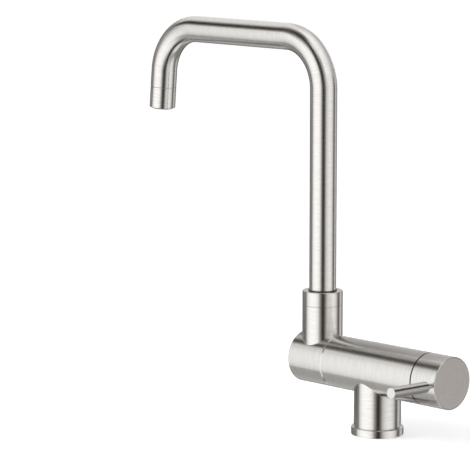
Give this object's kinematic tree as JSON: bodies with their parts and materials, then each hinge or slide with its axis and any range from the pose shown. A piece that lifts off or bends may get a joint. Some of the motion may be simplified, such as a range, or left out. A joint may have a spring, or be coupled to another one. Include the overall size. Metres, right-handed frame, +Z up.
{
  "type": "fold-down kitchen faucet",
  "caption": "Satin steel kitchen mixer with a horizontal body on a short column, a side lever, and a squared bent spout that tilts down flat and swivels.",
  "frame": {"origin": "on the column's axis at the worktop, in the plane of the base ring's underside", "axes": "+X along the body from the tilting hub to the handle, -Y to the user, +Z up"},
  "size_m": [0.3942, 0.1034, 0.4461],
  "materials": {
    "satin_steel": "fine-brushed satin stainless steel",
    "brass": "turned brass",
    "black_rubber": "moulded rubber",
    "zinc_steel": "zinc-plated sheet steel",
    "stainless_steel": "turned stainless steel",
    "nickel_nut": "dull nickel plate",
    "white_plastic": "moulded acetal",
    "grey_plastic": "moulded plastic",
    "ceramic_disc": "lapped ceramic"
  },
  "bodies": {
    "fixed_body": {"valve_body": "satin_steel", "base_ring": "satin_steel", "base_seal": "black_rubber", "fixing_stud": "brass", "horseshoe_gasket": "black_rubber", "horseshoe_plate": "zinc_steel", "fixing_nut": "brass", "cartridge_base": "white_plastic", "port_seals": "black_rubber", "cartridge_housing": "white_plastic", "fixed_disc": "ceramic_disc", "cartridge_nut": "nickel_nut", "spigot_seals": "black_rubber", "tilt_glide_ring": "white_plastic", "tilt_stop_pin": "stainless_steel", "slip_washer": "white_plastic", "thrust_washer": "zinc_steel", "hub_screw": "brass", "screw_seal": "black_rubber"},
    "hub": {"tilt_hub": "satin_steel", "hub_end_cap": "satin_steel", "swivel_collar": "satin_steel", "collar_bush": "white_plastic", "swivel_thrust_ring": "white_plastic"},
    "spout": {"spout_tube": "satin_steel", "spout_bush": "brass", "spout_seals": "black_rubber", "aerator_sleeve": "satin_steel", "aerator_insert": "grey_plastic", "aerator_seal": "black_rubber"},
    "rotor": {"cartridge_turret": "grey_plastic", "pivot_pin": "stainless_steel"},
    "disc_slide": {"disc_carrier": "grey_plastic", "moving_disc": "ceramic_disc"},
    "handle": {"stem": "stainless_steel", "handle_cap": "satin_steel", "lever_pin": "satin_steel", "grub_screw": "stainless_steel"}
  },
  "joints": [
    {"name": "spout_tilt", "type": "hinge", "parent": "fixed_body", "child": "hub", "pos_m": [-0.0707, 0, 0.06], "axis": [1, 0, 0], "range_deg": [0, 90]},
    {"name": "spout_swivel", "type": "hinge", "parent": "hub", "child": "spout", "pos_m": [-0.0707, 0, 0.06], "axis": [0, 0, 1], "range_deg": [-180, 180]},
    {"name": "handle_turn", "type": "hinge", "parent": "fixed_body", "child": "rotor", "pos_m": [0.0682, 0, 0.06], "axis": [1, 0, 0], "range_deg": [-50, 50]},
    {"name": "handle_lift", "type": "hinge", "parent": "rotor", "child": "handle", "pos_m": [0.0682, 0, 0.06], "axis": [0, 0.0262, 0.9997], "range_deg": [0, 20]},
    {"name": "disc_slide", "type": "slide", "parent": "rotor", "child": "disc_slide", "axis": [0, 0.9997, -0.0262], "range_m": [-0.0027, 0]}
  ],
  "couplings": [
    {"joint": "disc_slide", "follows": "handle_lift", "m_per_rad": -0.0076}
  ]
}
